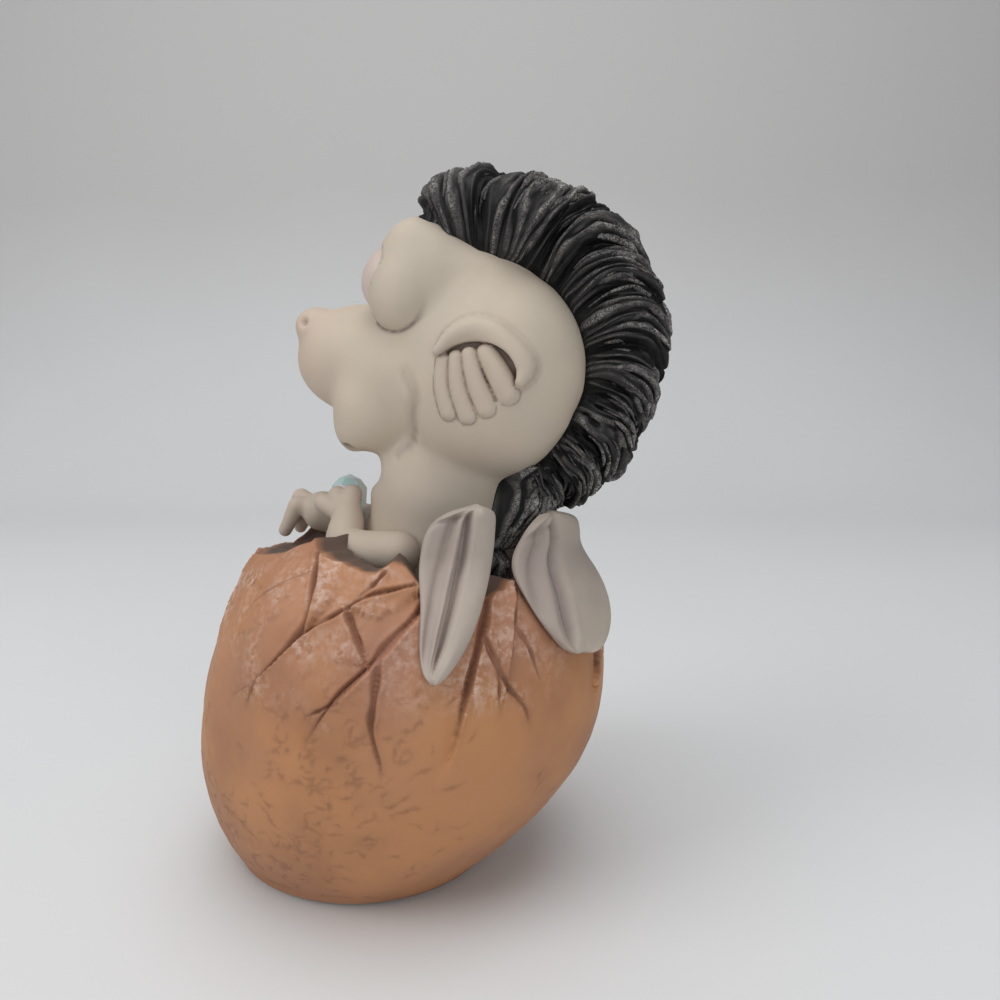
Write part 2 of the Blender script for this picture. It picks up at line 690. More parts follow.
def cutsAt(p):
    # nearest edge of a cut, its depth and wash, and the height that lips and tilted shards give to the shell
    edge = np.full(len(p), 9.0)
    sink, mark, lip, tilt = (np.zeros(len(p)) for _ in range(4))
    order = np.argsort(np.round(p[:, 2] / 3) * 1000 + np.degrees(np.arctan2(p[:, 1] - egg["axisY"], p[:, 0])))
    for part in np.array_split(order, max(1, len(p) // 1500)):
        q = p[part]
        low, high = q.min(0) - cutSides["reach"], q.max(0) + cutSides["reach"]
        a, b = cuts[:, 0:3], cuts[:, 3:6]
        close = ((np.maximum(a, b) > low) & (np.minimum(a, b) < high)).all(1)
        if not close.any():
            continue
        c = cuts[close]
        a, d = c[:, 0:3], c[:, 3:6] - c[:, 0:3]
        rel = q[:, None, :] - a[None]
        t = np.clip((rel * d).sum(-1) / (d * d).sum(-1), 0, 1)
        off = rel - t[..., None] * d
        far = np.linalg.norm(off, axis=-1)
        half = c[:, 6] + (c[:, 7] - c[:, 6]) * t
        depth = c[:, 8] + (c[:, 9] - c[:, 8]) * t
        side = np.sign((np.cross(d[None], off) * eggNormal(q)[:, None, :]).sum(-1))
        inside = np.clip(1 - far / np.maximum(half, 1e-6), 0, 1)
        sink[part] = np.max(depth * ramp(inside, 0, 1), axis=1)
        wash = np.minimum(1, cutSides["wash"] + cutSides["washByDepth"] * depth)
        mark[part] = np.max(wash * ramp(inside, 0, 0.8), axis=1)
        gap = far - half
        edge[part] = (gap + c[:, 11]).min(1)
        burr = cutSides["burr"] * depth * bump(gap, cutSides["burrFrom"], cutSides["burrWidth"]) * (gap > 0)
        lip[part] = burr.max(1)
        rise = c[:, 10] * side * cutSides["tilt"] * np.exp(-gap / cutSides["tiltReach"])
        rise = np.where(gap > 0, rise, 0) * (c[:, 10] != 0)
        strongest = np.abs(rise).argmax(1)
        tilt[part] = rise[np.arange(len(part)), strongest]
    return edge, sink, mark, lip, tilt


def gridFaces(rows, columns):
    # quads of rows that close on themselves, and a fan at each end
    i, j = np.meshgrid(np.arange(rows - 1), np.arange(columns), indexing="ij")
    a, b = i * columns + j, i * columns + (j + 1) % columns
    faces = np.stack([a, b, b + columns, a + columns], -1).reshape(-1, 4).tolist()
    ring, last = np.arange(columns), (rows - 1) * columns
    after, tip = (ring + 1) % columns, np.full(columns, rows * columns)
    faces += np.stack([tip, after, ring], -1).tolist()
    faces += np.stack([tip + 1, last + ring, last + after], -1).tolist()
    return faces


def patchFaces(rows, columns, under):
    # an outer sheet, a coarser one under it with the same rows, and a wall round the edge
    def sheet(width, first):
        i, j = np.meshgrid(np.arange(rows - 1), np.arange(width - 1), indexing="ij")
        c = first + (i * width + j).ravel()
        return np.stack([c, c + width, c + width + 1, c + 1], -1)

    half = rows * columns
    faces = sheet(columns, 0).tolist() + sheet(under, half)[:, ::-1].tolist()
    row = np.arange(rows - 1)
    a, b = row * columns, half + row * under
    faces += np.stack([a + columns, a, b, b + under], -1).tolist()
    a, b = a + columns - 1, b + under - 1
    faces += np.stack([a, a + columns, b + under, b], -1).tolist()
    outer, inner = np.arange(columns), half + np.arange(under)
    faces.append([*outer.tolist(), *inner[::-1].tolist()])
    faces.append([*(outer + half - columns)[::-1].tolist(), *(inner + (rows - 1) * under).tolist()])
    return faces


def refine(points, faces, zone, passes):
    # halves the edges that are long for their distance from a cut
    mesh = bpy.data.meshes.new("rough")
    mesh.from_pydata(points.tolist(), [], faces)
    setAttribute(mesh, "zone", zone)
    for _ in range(passes):
        co = readAttribute(mesh, "position", 3)
        ends = np.empty(len(mesh.edges) * 2, int)
        mesh.edges.foreach_get("vertices", ends)
        ends = ends.reshape(-1, 2)
        outer = (readAttribute(mesh, "zone", 1)[ends] > 0.99).all(1)
        middle = co[ends].mean(1)
        length = np.linalg.norm(co[ends[:, 0]] - co[ends[:, 1]], axis=1)
        target = np.full(len(ends), egg["longest"])
        edge = cutsAt(middle[outer])[0]
        target[outer] = np.clip(egg["fine"] + egg["coarser"] * np.maximum(edge, 0), 0, egg["longest"])
        chosen = np.flatnonzero(length > target)
        bm = bmesh.new()
        bm.from_mesh(mesh)
        bm.edges.ensure_lookup_table()
        bmesh.ops.subdivide_edges(bm, edges=[bm.edges[i] for i in chosen], cuts=1, use_grid_fill=True)
        bmesh.ops.triangulate(bm, faces=[f for f in bm.faces if len(f.verts) > 4])
        bm.to_mesh(mesh)
        bm.free()
    points, zone = readAttribute(mesh, "position", 3), readAttribute(mesh, "zone", 1)
    faces = [tuple(f.vertices) for f in mesh.polygons]
    bpy.data.meshes.remove(mesh)
    return points, faces, zone


def evenOut(values, faces, share, rounds):
    # draws the values of each point towards the mean of its neighbours, by its share
    a, b = np.array([(p, n) for f in faces for p, n in zip(f, f[1:] + f[:1])]).T
    count = np.bincount(a)[:, None]
    for _ in range(rounds):
        mean = np.stack([np.bincount(a, column[b]) for column in values.T], -1) / count
        values = values + share[:, None] * (mean - values)
    return values


def makeEgg():
    columns = egg["columns"]
    angles = np.linspace(-180, 180, columns, endpoint=False)
    for corner, _ in egg["rim"]:  # a column at each corner of the rim
        angles[np.abs(angles - corner).argmin()] = corner
    way = turned(angles)
    rows, zones = [], []
    bottom = eggBottom
    foot = onEgg(angles, np.full(columns, bottom))
    for f in (0.25, 0.5, 0.75, 0.93):  # flat underside
        rows.append(leanAxis(bottom) + (foot - leanAxis(bottom)) * f)
        zones.append(0)
    top = rimHeight(angles) + 0.22 * valueNoise(way * 26, 1.3, 5)
    for f in np.linspace(0, 1, egg["outerRows"]):  # outside
        rows.append(onEgg(angles, bottom + (top - bottom) * f))
        zones.append(1)
    innerTop = top - 0.35 + 0.5 * valueNoise(way * 26, 3.1, 9)
    outerEdge, innerEdge = rows[-1], onEgg(angles, innerTop, -egg["wall"])
    for f in (0.12, 0.35, 0.6, 0.85, 1.0):  # broken face
        ring = outerEdge + (innerEdge - outerEdge) * f
        ring[:, 2] += 0.22 * valueNoise(ring, 0.9, 3) * (f < 1)
        rows.append(ring)
        zones.append(0.5 if f < 0.3 else 0.4)
    for f in np.linspace(0.08, 1, egg["innerRows"]):  # inside
        rows.append(onEgg(angles, innerTop + (cavityFloor - innerTop) * f, -egg["wall"]))
        zones.append(0)
    floor = rows[-1]
    for f in (0.66, 0.33):
        rows.append(leanAxis(cavityFloor) + (floor - leanAxis(cavityFloor)) * f)
        zones.append(0)
    points = np.vstack(rows + [leanAxis(bottom)[None], leanAxis(cavityFloor)[None]])
    zone = np.r_[np.repeat(zones, columns), 0, 0]
    points, faces, zone = refine(points, gridFaces(len(rows), columns), zone, egg["passes"])
    outer = zone > 0.99
    p = points[outer]
    axis = leanAxis(p[:, 2])
    way = unit((p - axis) * np.array([1, 1, 0]))
    p = axis + reachAlong(eggGap, axis, way, 2 * eggRadius)[:, None] * way
    edge, sink, mark, lip, tilt = cutsAt(p)
    swell = 0.12 * valueNoise(p, 6.0, 1) + 0.05 * valueNoise(p, 1.6, 2)
    flat = ramp(p[:, 2], bottom, bottom + 1.5)  # the underside's edge stays where the pad needs it
    upper = ramp(p[:, 2], 28, 41)
    chips = 0.3 * upper * (np.abs(valueNoise(p, 3.4, 12)) - 0.3)
    height = (swell + chips + lip + tilt - egg["sunk"]) * flat - sink
    points[outer] = np.clip(p + eggNormal(p) * height[:, None], boxLow, boxHigh)
    hollow, dust, rose, dark = (np.zeros(len(points)) for _ in range(4))
    near = np.exp(-np.maximum(edge, 0) / 0.3) * (sink <= 0)
    hollow[outer] = mark + 0.4 * near * (0.5 + 0.5 * valueNoise(p, 2.0, 6))
    patchy = np.clip(0.45 + 1.1 * valueNoise(p, 3.0, 7), 0, 1)
    proud = np.clip(2.2 * (lip + tilt + chips), 0, 1)
    worn = upper * patchy * (0.25 + 0.75 * np.exp(-np.maximum(edge, 0) / 1.1) + proud)
    dust[outer] = np.clip(worn, 0, 1) * (sink < 0.05)
    rose[outer] = np.clip(0.45 * upper + 0.45 * valueNoise(p, 8.0, 8), 0, 0.8)
    rim = (zone > 0.3) & ~outer
    dark[rim] = np.where(zone[rim] > 0.45, 0.3, 0.85)
    inside = (zone < 0.3) & (points[:, 2] > cavityFloor - 0.01)
    dark[inside] = 0.9
    share = np.zeros(len(points))
    share[outer] = egg["even"] * (edge < egg["evenReach"])
    eased = evenOut(np.column_stack([points, hollow]), faces, share, egg["evenRounds"])
    points, hollow = eased[:, :3], eased[:, 3]
    piece = makePiece("eggShell", points, faces, shellMaterial,
                      {"hollow": hollow, "dust": dust, "rose": rose, "dark": dark}, egg["sharp"])
    keep(piece, "shell", "egg_shell")


makeEgg()


# The dragon's skin: rounded forms as middle from the skull and half sizes, one side only

head = {
    "step": 0.27, "blend": 0.7, "low": (-16, -29, -16), "high": (16, 16, 21), "sharp": 65,
    "cranium": ((0, 0.5, -1.5), (13.3, 14.2, 14.5)),
    "crown": ((0, -3.5, 7), (10.5, 11.5, 12)),
    "cheek": ((0, -9.5, -1), (10.8, 11, 9.5)),
    "muzzle": ((0, -18.2, 0.5), (8.5, 9.45, 7.4)),
    "bridge": ((0, -17.5, 4.2), (5, 6, 3.4)),
    "nostril": ((3.2, -24.1, 5.2), (2.7, 2.6, 2.4)),
    "jowl": ((5, -14.2, -5.8), (5, 5.8, 6)),
    "chin": ((0, -16.8, -8.2), (5.5, 5.2, 3.4)),
    "neck": ((0, -6.5, -18), (9.2, 10.3, 13)),
    "chest": ((0, -7.5, -28), (9.6, 11.5, 12)),
    "jaw": ((4.6, -16.4, -9), (3.8, 3.4, 3.2)),
    "brow": ((6.7, -7.2, 11), (5, 5.2, 7)),
    "lid": ((7.5, -8.1, 8.2), (5.5, 5.0, 5.1)),
    "hood": [(-1.9, 1.0), (-0.1, 2.8), (2.2, 3.5), (4.4, 2.9), (6.5, 1.1), (8.0, -0.9), (7.9, -2.5)],
    "hoodRadii": (0.5, 1.1, 1.5, 1.7, 1.75, 1.65, 0.8), "hoodRise": 1.35,
    "ribs": [((-1.4, -0.2), (-1.6, -3.2), (-1.0, -6.1), 1.0, 1.3),
             ((0.2, 0.2), (0.4, -3.2), (1.3, -6.5), 0.95, 1.35),
             ((1.8, 0.5), (2.5, -2.6), (3.6, -5.6), 1.0, 1.45),
             ((3.8, 0.6), (5.0, -1.6), (6.0, -3.9), 1.35, 1.75)],
    "ribRise": 0.5,
    "recess": ((0, 2.6, -1.7), (99, 5.0, 3.8)), "recessDepth": 1.3,
    "jowlCrease": [(-7.5, -1.6), (-6.3, -4.6), (-7.0, -7.0), (-7.8, -10.0), (-10.1, -12.0)],
    "jowlCreaseDepths": (0.0, 0.45, 0.5, 0.3, 0.05), "jowlCreaseRadius": 1.3,
    "mouth": [(0, -23.4, -6.2), (3.2, -22.0, -6.9), (5.6, -19.0, -8.6), (6.7, -17.0, -10.9)],
    "mouthRadii": (0.25, 0.3, 0.4, 1.0),
    "throat": [(0, -17.3, -14.4), (7, -15.6, -14.4)], "throatRadii": (2.3, 2.3),
    "nostrilPit": (5.9, -24.4, 5.6), "nostrilRadius": 0.6,
}


def mirrored(p):
    q = p - skull
    return np.concatenate([np.abs(q[..., :1]), q[..., 1:]], -1)


def skinBase(q):
    names = ("cranium", "crown", "cheek", "muzzle", "bridge", "nostril",
             "jowl", "jaw", "chin", "neck", "chest")
    return softJoin([formGap(q, *head[n]) for n in names], head["blend"])


def plainSkin(p):
    q = mirrored(p)
    lid = softMin(formGap(q, *head["brow"]), formGap(q, *head["lid"]), 1.0)
    return softMin(skinBase(q), lid, 1.0)


def onCheek(yz, radius, rise):
    # middle of a round link of this radius that stands proud of the cranium by rise
    middle, half = head["cranium"]
    y, z = np.asarray(yz)[..., 0], np.asarray(yz)[..., 1]
    room = 1 - ((y - middle[1]) / half[1]) ** 2 - ((z - middle[2]) / half[2]) ** 2
    return np.stack([half[0] * np.sqrt(np.maximum(room, 0)) - radius + rise, y, z], -1)


def alongLinks(values, count):
    return np.interp(np.linspace(0, len(values) - 1, count), range(len(values)), values)


hoodRadii = alongLinks(head["hoodRadii"], 20)
hoodPath = onCheek(curvePath(head["hood"], 20), hoodRadii, head["hoodRise"])
earRibs = []
for *places, thin, thick in head["ribs"]:
    ribRadii = alongLinks((thin, (thin + thick) / 2, thick), 7)
    earRibs.append((onCheek(curvePath(places, 7), ribRadii, head["ribRise"]), ribRadii))


def creaseLine():
    # middle of a round cutter that dips into the cheek as deep as the list says
    yz = curvePath(head["jowlCrease"], 14)
    start = skull + np.column_stack([np.zeros(len(yz)), yz])
    reach = reachAlong(plainSkin, start, np.array([1.0, 0, 0]), 30)
    depth = alongLinks(head["jowlCreaseDepths"], 14)
    return np.column_stack([reach + head["jowlCreaseRadius"] - depth, yz])


creasePath = creaseLine()


def headGap(p):
    q = mirrored(p)
    gap = skinBase(q)
    lid = softMin(formGap(q, *head["brow"]), formGap(q, *head["lid"]), 2.2)
    soft = 0.2 + 2.6 * ramp(q[..., 2], 6.5, 13.0) + 1.2 * ramp(q[..., 1], -6.5, -2.5)
    gap = softMin(gap, lid, soft)
    gap = softMin(gap, pathGap(q, hoodPath, hoodRadii), 0.9)
    floor = onCheek(q[..., 1:], 0, -head["recessDepth"])[..., 0]
    gap = softMax(gap, -softMax(formGap(q, *head["recess"]), floor - q[..., 0], 0.5), 0.25)
    for path, radii in earRibs:
        gap = softMin(gap, pathGap(q, path, radii), 0.1)
    crease = pathGap(q, creasePath, [head["jowlCreaseRadius"]] * len(creasePath))
    gap = softMax(gap, -crease, 0.6)
    mouth = pathGap(q, curvePath(head["mouth"], 10), alongLinks(head["mouthRadii"], 10))
    gap = softMax(gap, -mouth, 0.7)
    gap = softMax(gap, -pathGap(q, np.array(head["throat"], float), head["throatRadii"]), 1.4)
    nostril = np.linalg.norm(q - np.array(head["nostrilPit"]), axis=-1) - head["nostrilRadius"]
    gap = softMax(gap, -nostril, 0.7)
    eye = np.linalg.norm(q - (eyeMiddle - skull), axis=-1) - eyeRadius - 0.08
    gap = softMax(gap, -eye, 0.15)
    return gap + 0.05 * valueNoise(p, 3.2, 21)


def skinTone(points, hollow):
    # rosy muzzle and ears, greyer towards the neck
    q = mirrored(points)
    ear = bump(np.linalg.norm((q - np.array([12.6, 2.4, -2.0])) / np.array([4, 6, 5]), axis=1), 0, 0.9)
    blush = 0.55 * ramp(-q[:, 1], 14, 25) + 0.4 * ear
    under = ramp(-q[:, 2], 9, 15)
    shade = under * (0.06 + 0.22 * ramp(q[:, 1], -14, -2)) + 0.08 * ramp(-q[:, 2], 15, 26)
    return {"hollow": hollow, "blush": blush, "shade": np.clip(shade, 0, 1)}


def makeHead():
    cut = neckJoint

    def gap(p):
        return np.maximum(headGap(p), cut - p[..., 2])

    points, faces = netSkin(gap, skull + head["low"], skull + head["high"], head["step"])
    points = snapEdge(headGap, points, cut, 0.75 * head["step"])
    hollow = 1.3 * np.clip(hollowness(headGap, points, 0.7) - 0.14, 0, 1)
    fine = 2.4 * np.clip(hollowness(headGap, points, 0.3) - 0.07, 0, 1)
    side = np.array([0.0, 1, 1])
    crease = pathGap(mirrored(points) * side, creasePath * side, [0.0] * len(creasePath))
    hollow = np.clip(np.maximum(hollow, fine), 0, 0.85) + 0.22 * bump(crease, 0, 0.45)
    piece = makePiece("head", points, faces, skinMaterial, skinTone(points, hollow), head["sharp"])
    keep(piece, "skin", "head")


makeHead()


body = {"step": 0.55, "low": (-25, -18), "high": (25, 36), "snap": 0.4}


def makeBody():
    plugTop = egg["rimHeight"] - egg["plugDrop"]

    def gap(p):
        plug = np.maximum(eggGap(p, -egg["wall"] - egg["glue"]), p[..., 2] - plugTop)
        whole = np.minimum(headGap(p), plug)
        return np.maximum(np.maximum(whole, p[..., 2] - neckJoint), cavityFloor - p[..., 2])

    low, high = (*body["low"], cavityFloor - 1), (*body["high"], neckJoint + 1)
    points, faces = netSkin(gap, low, high, body["step"])
    points = snapEdge(headGap, points, neckJoint, body["snap"])
    hollow = 0.3 * ramp(-points[:, 2], -(plugTop + 5), -plugTop)
    piece = makePiece("body", points, faces, skinMaterial, skinTone(points, hollow), head["sharp"])
    keep(piece, "skin", "body")


makeBody()


# Eyes, with an iris that looks ahead under the lid

eyes = {"rings": 40, "sides": 64, "look": np.array([0.1, -0.99, -0.05]), "irisAngle": 22.0,
        "bulge": 0.12, "bulgeAngle": 20.0, "sunk": 0.04}


def makeEye(side, node):
    middle = nodeMiddle(node)
    look = unit(eyes["look"] * np.array([side, 1, 1]))
    u, w = acrossAxes(look)
    rows = []
    for a in np.linspace(0, math.pi, eyes["rings"] + 2)[1:-1]:
        r = eyeRadius - eyes["sunk"] + eyes["bulge"] * (bump(math.degrees(a), 0, eyes["bulgeAngle"]) - 0.8)
        b = np.linspace(0, 2 * math.pi, eyes["sides"], endpoint=False)[:, None]
        rows.append(middle + r * (math.cos(a) * look + math.sin(a) * (np.cos(b) * u + np.sin(b) * w)))
    r0 = eyeRadius - eyes["sunk"] + eyes["bulge"] * 0.2
    points = np.vstack(rows + [middle + look * r0, middle - look * (r0 - eyes["bulge"])])
    angle = np.degrees(np.arccos(np.clip(unit(points - middle) @ look, -1, 1)))
    iris = ramp(-angle, -eyes["irisAngle"] - 2, -eyes["irisAngle"] + 2)
    faces = [f[::-1] for f in gridFaces(len(rows), eyes["sides"])]
    piece = makePiece(node.replace("_e", "E"), points, faces, eyeMaterial, {"iris": iris})
    keep(piece, "eye", node)


makeEye(1, "left_eye")
makeEye(-1, "right_eye")


# The mane: a carved mass on the skull, and loose strands swept over it by Geometry Nodes

# Locks: where each starts round the skull, how far it bends back, how it arches, how tall it stands
mane = {
    "end": -74.0, "seed": 4, "strands": 130, "steps": 26, "profile": 8, "depth": 2.8, "bed": 0.4,
    "rows": 600, "columns": 97, "under": 13,
    "spacing": 3.3, "perLock": 3.2, "clumpHeight": 1.6, "lockHeight": 0.75, "strandHeight": 0.95,
    "clumps": [-78, -52, -34, -16, 3, 24, 43, 56, 84, 114],
    "locks": [(109.5, -2.5, 0, -0.2), (104, -2.5, 0, 0.1), (97, -1, 0.5, 0.4), (89, 2, 1, 0.0),
              (81, 4, 1, 0.3), (73, 6, 1, -0.1), (65, 8, 1, 0.2), (57, 9, 1, 0.5), (50, 15, 5, -0.4),
              (42, 18, 5, 0.15),
              (33, 13, 4, 0.0), (24, 7, 5, 0.4), (15, 5, 6, -0.1), (6, 7, 5, 0.4), (-4, 11, 4, -0.5),
              (-14, 13, 3, 0.1), (-24, 15, 3, -0.15), (-35, 16, 2, 0.2), (-46, 12, 2, -0.1), (-58, 8, 2, 0.0),
              (-74, 6, 2, 0.0)],
    "top": [(114, 21.2), (108, 23.0), (100, 24.9), (89, 25.3), (67, 24.7), (47, 25.5), (26, 24.8), (6, 24.5),
            (-4, 24.2), (-12, 23.6), (-29, 23.3), (-47, 22.9), (-62, 22.4), (-74, 20.6)],
    "half": [(114, 20), (106, 26), (98, 28.5), (84, 30), (73, 27), (58, 17), (43, 13), (27, 13), (0, 14.5),
             (-15, 15.5), (-27, 18), (-41, 17), (-62, 14), (-74, 10)],
}


def tableAt(table, x):
    a = np.array(sorted(table), float)
    return np.interp(x, a[:, 0], a[:, 1])


def starWay(a, b):
    a, b = np.radians(a), np.radians(b)
    return np.stack([np.sin(b), np.cos(b) * np.cos(a), np.cos(b) * np.sin(a)], -1)


def maneGround(a, v):
    # point of the ground under the strands, v from -1 to 1 across the crest
    b = tableAt(mane["half"], a) * v
    way = starWay(a, b)
    skin = reachAlong(plainSkin, np.broadcast_to(skull, way.shape), way, 40)
    top = tableAt(mane["top"], a) - mane["depth"]
    rise = np.maximum(0.25, (top - skin) * (1 - np.abs(v) ** 2.2))
    return skull + way * (skin + rise)[..., None], way, skin


def lockAt(root, column):
    return tableAt([(lock[0], lock[column]) for lock in mane["locks"]], root)


def strandLine(root, s):
    # direction round the skull along a strand that starts at root
    return root - lockAt(root, 1) * s ** 1.7 + lockAt(root, 2) * np.sin(math.pi * s)


def peak(x):
    return 1 - np.abs(2 * (x - np.floor(x)) - 1)


def clumpAt(root):
    # full in the middle of a clump of locks, nothing in the deep cut between two
    edges = np.array(mane["clumps"], float)
    k = np.clip(np.searchsorted(edges, root) - 1, 0, len(edges) - 2)
    return 1 - np.abs(2 * (root - edges[k]) / (edges[k + 1] - edges[k]) - 1) ** 2.6


def strandHeight(root, s, side):
    # carved strands in locks and clumps: height over the ground, how near a ridge, and the dry brush
    curly = ramp(-root, -10, 40)
    place = np.stack([root / 6, s * 1.8, 0 * s + 9 * side], -1)
    drift = 0.9 * valueNoise(place, 1, 61) + (0.35 + 0.5 * curly) * valueNoise(place * 2.6, 1, 62)
    phase = root / mane["spacing"] + drift
    own = valueNoise(np.stack([np.floor(phase), 2.2 * s, 0 * s + 5 * side], -1), 1, 63)
    ridge = peak(phase) * (0.75 + 0.25 * own)
    fine = peak(2.4 * phase + 0.5 * valueNoise(place * 4, 1, 64))
    lock = peak(phase / mane["perLock"] + 0.2 * valueNoise(place * 1.7, 1, 65)) ** 0.6
    clump = clumpAt(root + 2.2 * valueNoise(place * 1.3, 1, 68))
    pits = curly * ramp(valueNoise(place * np.array([4, 5, 1]), 1, 66), 0.3, 0.7)
    height = mane["clumpHeight"] * clump + mane["lockHeight"] * lock + mane["strandHeight"] * ridge
    height += 0.2 * fine - 0.8 * pits
    height += ramp(s, 0.5, 1) * (lockAt(root, 3) + 0.35 * own)
    near = np.clip(clump, 0.35, 1) * np.clip(0.25 * lock + 0.62 * ridge + 0.2 * fine, 0, 1) - 0.5 * pits
    tone = np.clip(0.65 + 0.8 * valueNoise(place * 2.1, 1, 67), 0, 1) * (0.5 + 0.5 * ramp(s, 0.1, 0.9))
    return height * (0.3 + 0.7 * ramp(s, 0.0, 0.3)), np.clip(near, 0, 1), tone


def makeManeGround():
    rows, columns, under = mane["rows"], mane["columns"], mane["under"]
    first, last = mane["locks"][0][0], mane["end"]
    roots = np.linspace(first, last, rows)
    root, v = np.meshgrid(roots, np.linspace(-1, 1, columns), indexing="ij")
    s = 1 - np.abs(v)
    ground, way, _ = maneGround(strandLine(root, s), v)
    up = upright(np.gradient(ground, axis=0), np.gradient(ground, axis=1), way)
    share = ramp(v, -0.12, 0.12)
    sides = zip(strandHeight(root, s, -1), strandHeight(root, s, 1))
    height, ridge, tone = (a + (b - a) * share for a, b in sides)
    ends = ramp(root, last, last + 4) * (1 - ramp(root, first - 3, first))
    outer = np.clip(ground + up * (height * ends * ramp(s, 0, 0.05))[..., None], boxLow, boxHigh)
    root, v = np.meshgrid(roots, np.linspace(-1, 1, under), indexing="ij")
    _, way, skin = maneGround(strandLine(root, 1 - np.abs(v)), v)
    inner = skull + way * (skin - mane["bed"])[..., None]
    return outer, inner, patchFaces(rows, columns, under), ridge, tone


def strandPaths():
    # loose strands: points, widths, directions away from the ground and a tone
    rng = np.random.default_rng(mane["seed"])
    strands = []
    s = np.linspace(0, 1, mane["steps"])
    first, last = mane["locks"][0][0], mane["end"]
    for k in range(mane["strands"]):
        side = -1 if k % 2 else 1
        root = first - 1 + (last + 4 - first) * (k + rng.uniform(0, 1)) / mane["strands"]
        begin, stop = rng.uniform(0.05, 0.6), rng.uniform(0.0, 0.1)
        if rng.random() < 0.35:  # some end well before the crest
            stop += rng.uniform(0.05, 0.3)
        along = begin + (1 - stop - begin) * s
        wave = rng.uniform(0.3, 1.2) * np.sin(s * rng.uniform(3, 7) + rng.uniform(0, 6))
        a, v = strandLine(root, along) + wave, side * (1 - along)
        ground, way, _ = maneGround(a, v)
        beside = starWay(a + 2.0, tableAt(mane["half"], a) * v) - way
        up = upright(np.gradient(ground, axis=0), beside, way)
        lift = ramp(along, 0, 0.3) * (0.75 + 1.5 * clumpAt(root) + rng.uniform(-0.4, 0.3))
        lift = lift + rng.uniform(0, 0.5) * ramp(s, 0.8, 1)
        width = rng.uniform(0.3, 0.55) * (0.35 + 0.65 * ramp(s, 0, 0.3)) * (1 - 0.6 * ramp(s, 0.8, 1.0))
        tone = rng.uniform(0.3, 1.0) * (0.4 + 0.6 * s)
        strands.append((ground + up * lift[:, None], width, up, tone))
    return strands


def makeStrandTree():
    tree = bpy.data.node_groups.new("sweptStrands", "GeometryNodeTree")
    inputs = {"Paths": "Geometry", "Thickness": "Float", "Sides": "Int", "Finish": "Material"}
    for name, kind in inputs.items():
        tree.interface.new_socket(name, in_out="INPUT", socket_type="NodeSocket" + kind)
    tree.interface.new_socket("Strands", in_out="OUTPUT", socket_type="NodeSocketGeometry")
    given = addNode(tree, "NodeGroupInput").outputs
    toCurve = addNode(tree, "GeometryNodeMeshToCurve")
    feed(tree, given["Paths"], toCurve.inputs["Mesh"])
    ring = addNode(tree, "GeometryNodeCurvePrimitiveCircle")
    feed(tree, given["Sides"], ring.inputs["Resolution"])
    feed(tree, given["Thickness"], ring.inputs["Radius"])
    width = addNode(tree, "GeometryNodeInputNamedAttribute", data_type="FLOAT")
    setInputs(width, Name="width")
    sweep = addNode(tree, "GeometryNodeCurveToMesh")
    feed(tree, toCurve.outputs["Curve"], sweep.inputs["Curve"])
    feed(tree, ring.outputs["Curve"], sweep.inputs["Profile Curve"])
    feed(tree, width.outputs["Attribute"], sweep.inputs["Scale"])
    setInputs(sweep, Fill_Caps=True)
    smooth = addNode(tree, "GeometryNodeSetShadeSmooth")
    feed(tree, sweep.outputs["Mesh"], smooth.inputs["Geometry"])
    real = addNode(tree, "GeometryNodeRealizeInstances")
    feed(tree, smooth.outputs["Geometry"], real.inputs["Geometry"])
    paint = addNode(tree, "GeometryNodeSetMaterial")
    feed(tree, real.outputs["Geometry"], paint.inputs["Geometry"])
    feed(tree, given["Finish"], paint.inputs["Material"])
    feed(tree, paint.outputs["Geometry"], addNode(tree, "NodeGroupOutput").inputs["Strands"])
    return tree


strandTree = makeStrandTree()


def sweepStrands(name, strands):
    axis, width, lift, tone = (np.concatenate(part) for part in zip(*strands))
    steps = len(strands[0][0])
    mesh = bpy.data.meshes.new(name + "Paths")
    mesh.from_pydata((axis * mm).tolist(), [(i - 1, i) for i in range(len(axis)) if i % steps], [])
    for key, values in (("width", width), ("lift", lift), ("axis", axis), ("tone", tone)):
        setAttribute(mesh, key, values)
    paths = newObject(name + "Paths", mesh)
    modifier = paths.modifiers.new("sweep", "NODES")
    modifier.node_group = strandTree
    inputs = {s.name: s.identifier for s in strandTree.interface.items_tree if s.in_out == "INPUT"}
    modifier[inputs["Thickness"]] = mm
    modifier[inputs["Sides"]] = mane["profile"]
    modifier[inputs["Finish"]] = maneMaterial
    bpy.context.view_layer.update()
    graph = bpy.context.evaluated_depsgraph_get()
    made = bpy.data.meshes.new_from_object(paths.evaluated_get(graph))
    paths.modifiers.remove(modifier)
    bpy.data.objects.remove(paths)
    return made


def carveStrands(mesh):
    # round strands become ridges with a rough surface, inside the box of the CAD
    co = readAttribute(mesh, "position", 3) / mm
    axis, width = readAttribute(mesh, "axis", 3), readAttribute(mesh, "width", 1)
    lift = unit(readAttribute(mesh, "lift", 3))
    off = co - axis
    high = (off * lift).sum(1)
    ridge = high / np.maximum(width, 1e-6)
    across = off - high[:, None] * lift
    rough = 1.1 + 0.35 * valueNoise(co, 0.7, 51) + 0.25 * valueNoise(co, 0.35, 52)
    co = axis + across * (1 - 0.5 * ramp(ridge, -0.1, 1.0))[:, None] + (high * rough)[:, None] * lift
    return np.clip(co, boxLow, boxHigh), ridge


